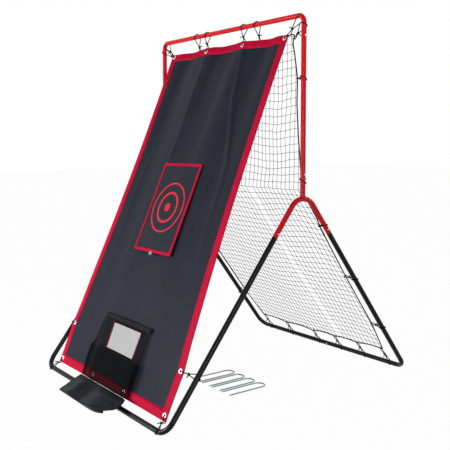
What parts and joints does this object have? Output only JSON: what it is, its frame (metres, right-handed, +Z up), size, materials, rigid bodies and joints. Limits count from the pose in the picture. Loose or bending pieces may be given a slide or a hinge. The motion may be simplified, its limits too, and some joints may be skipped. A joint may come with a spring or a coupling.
{
  "type": "pitching target net",
  "caption": "Freestanding tube frame with a sloping cloth strike-zone target in front and a sagging catch net behind, tied on with elastic cords.",
  "frame": {"origin": "on the ground under the middle of the whole set's bounding box", "axes": "+X to the right as the thrower sees it, +Y to the rear away from the thrower, +Z up"},
  "size_m": [1.2412, 1.6561, 1.8348],
  "materials": {
    "red_paint": "glossy baked enamel",
    "black_paint": "glossy baked enamel",
    "spring_steel": "blued spring steel",
    "button_steel": "plated, polished",
    "curtain_cloth": "coated woven polyester, matt",
    "red_binding": "woven tape, slight sheen",
    "eyelet_steel": "bright plating",
    "panel_cloth": "coated woven polyester",
    "tab_webbing": "woven tape",
    "black_mesh": "open knitted mesh",
    "flap_cloth": "thin coated polyester, creased",
    "net_cord": "knotted twine",
    "net_rope": "braided rope",
    "elastic_cord": "covered elastic",
    "stake_steel": "galvanised wire"
  },
  "bodies": {
    "frame": {"top_tube_left": "red_paint", "post_left": "red_paint", "fork_left": "red_paint", "front_base_left": "black_paint", "rear_base_left": "black_paint", "top_tube_right": "red_paint", "post_right": "red_paint", "fork_right": "red_paint", "front_base_right": "black_paint", "rear_base_right": "black_paint", "snap_springs": "spring_steel", "target_curtain": "curtain_cloth", "curtain_binding": "red_binding", "window_binding": "red_binding", "eyelets": "eyelet_steel", "mesh_sleeve": "black_mesh", "net_upper": "net_cord", "net_lower": "net_cord", "net_edge_rope": "net_rope", "curtain_top_ties": "elastic_cord", "curtain_foot_ties": "elastic_cord", "curtain_side_ties": "elastic_cord", "net_top_ties": "elastic_cord", "net_ties_left": "elastic_cord", "net_ties_right": "elastic_cord", "net_foot_ties": "elastic_cord"},
    "snap_front_leg_left": {"button_front_leg_left": "button_steel"},
    "snap_front_leg_right": {"button_front_leg_right": "button_steel"},
    "snap_front_mid": {"button_front_mid": "button_steel"},
    "snap_post_foot_left": {"button_post_foot_left": "button_steel"},
    "snap_post_foot_right": {"button_post_foot_right": "button_steel"},
    "snap_post_top_left": {"button_post_top_left": "button_steel"},
    "snap_post_top_right": {"button_post_top_right": "button_steel"},
    "snap_rear_leg_left": {"button_rear_leg_left": "button_steel"},
    "snap_rear_leg_right": {"button_rear_leg_right": "button_steel"},
    "snap_rear_mid": {"button_rear_mid": "button_steel"},
    "snap_top_mid": {"button_top_mid": "button_steel"},
    "strike_flap": {"strike_panel": "panel_cloth", "strike_binding": "red_binding", "strike_tab": "tab_webbing"},
    "chute": {"chute_flap": "flap_cloth"},
    "stake_1": {"ground_stake_1": "stake_steel"},
    "stake_2": {"ground_stake_2": "stake_steel"},
    "stake_3": {"ground_stake_3": "stake_steel"},
    "stake_4": {"ground_stake_4": "stake_steel"}
  },
  "joints": [
    {"name": "press_front_leg_left", "type": "slide", "parent": "frame", "child": "snap_front_leg_left", "axis": [1, 0, 0], "range_m": [0, 0.004], "stiffness_N_per_m": 400, "springref_m": -0.004},
    {"name": "press_front_leg_right", "type": "slide", "parent": "frame", "child": "snap_front_leg_right", "axis": [-1, 0, 0], "range_m": [0, 0.004], "stiffness_N_per_m": 400, "springref_m": -0.004},
    {"name": "press_front_mid", "type": "slide", "parent": "frame", "child": "snap_front_mid", "axis": [0, -1, 0], "range_m": [0, 0.004], "stiffness_N_per_m": 400, "springref_m": -0.004},
    {"name": "press_post_foot_left", "type": "slide", "parent": "frame", "child": "snap_post_foot_left", "axis": [1, 0, 0], "range_m": [0, 0.004], "stiffness_N_per_m": 400, "springref_m": -0.004},
    {"name": "press_post_foot_right", "type": "slide", "parent": "frame", "child": "snap_post_foot_right", "axis": [-1, 0, 0], "range_m": [0, 0.004], "stiffness_N_per_m": 400, "springref_m": -0.004},
    {"name": "press_post_top_left", "type": "slide", "parent": "frame", "child": "snap_post_top_left", "axis": [1, 0, 0], "range_m": [0, 0.004], "stiffness_N_per_m": 400, "springref_m": -0.004},
    {"name": "press_post_top_right", "type": "slide", "parent": "frame", "child": "snap_post_top_right", "axis": [-1, 0, 0], "range_m": [0, 0.004], "stiffness_N_per_m": 400, "springref_m": -0.004},
    {"name": "press_rear_leg_left", "type": "slide", "parent": "frame", "child": "snap_rear_leg_left", "axis": [1, 0, 0], "range_m": [0, 0.004], "stiffness_N_per_m": 400, "springref_m": -0.004},
    {"name": "press_rear_leg_right", "type": "slide", "parent": "frame", "child": "snap_rear_leg_right", "axis": [-1, 0, 0], "range_m": [0, 0.004], "stiffness_N_per_m": 400, "springref_m": -0.004},
    {"name": "press_rear_mid", "type": "slide", "parent": "frame", "child": "snap_rear_mid", "axis": [0, 1, 0], "range_m": [0, 0.004], "stiffness_N_per_m": 400, "springref_m": -0.004},
    {"name": "press_top_mid", "type": "slide", "parent": "frame", "child": "snap_top_mid", "axis": [0, 0, 1], "range_m": [0, 0.004], "stiffness_N_per_m": 400, "springref_m": -0.004},
    {"name": "strike_lift", "type": "hinge", "parent": "frame", "child": "strike_flap", "pos_m": [0, -0.22281, 1.12201], "axis": [-1, 0, 0], "range_deg": [0, 110]},
    {"name": "chute_lift", "type": "hinge", "parent": "frame", "child": "chute", "pos_m": [0, -0.70786, 0.05868], "axis": [-1, 0, 0], "range_deg": [0, 100]},
    {"name": "pick_up_stake_1", "type": "slide", "parent": "frame", "child": "stake_1", "axis": [0, 0, 1], "range_m": [0, 0.25]},
    {"name": "pick_up_stake_2", "type": "slide", "parent": "frame", "child": "stake_2", "axis": [0, 0, 1], "range_m": [0, 0.25]},
    {"name": "pick_up_stake_3", "type": "slide", "parent": "frame", "child": "stake_3", "axis": [0, 0, 1], "range_m": [0, 0.25]},
    {"name": "pick_up_stake_4", "type": "slide", "parent": "frame", "child": "stake_4", "axis": [0, 0, 1], "range_m": [0, 0.25]}
  ]
}
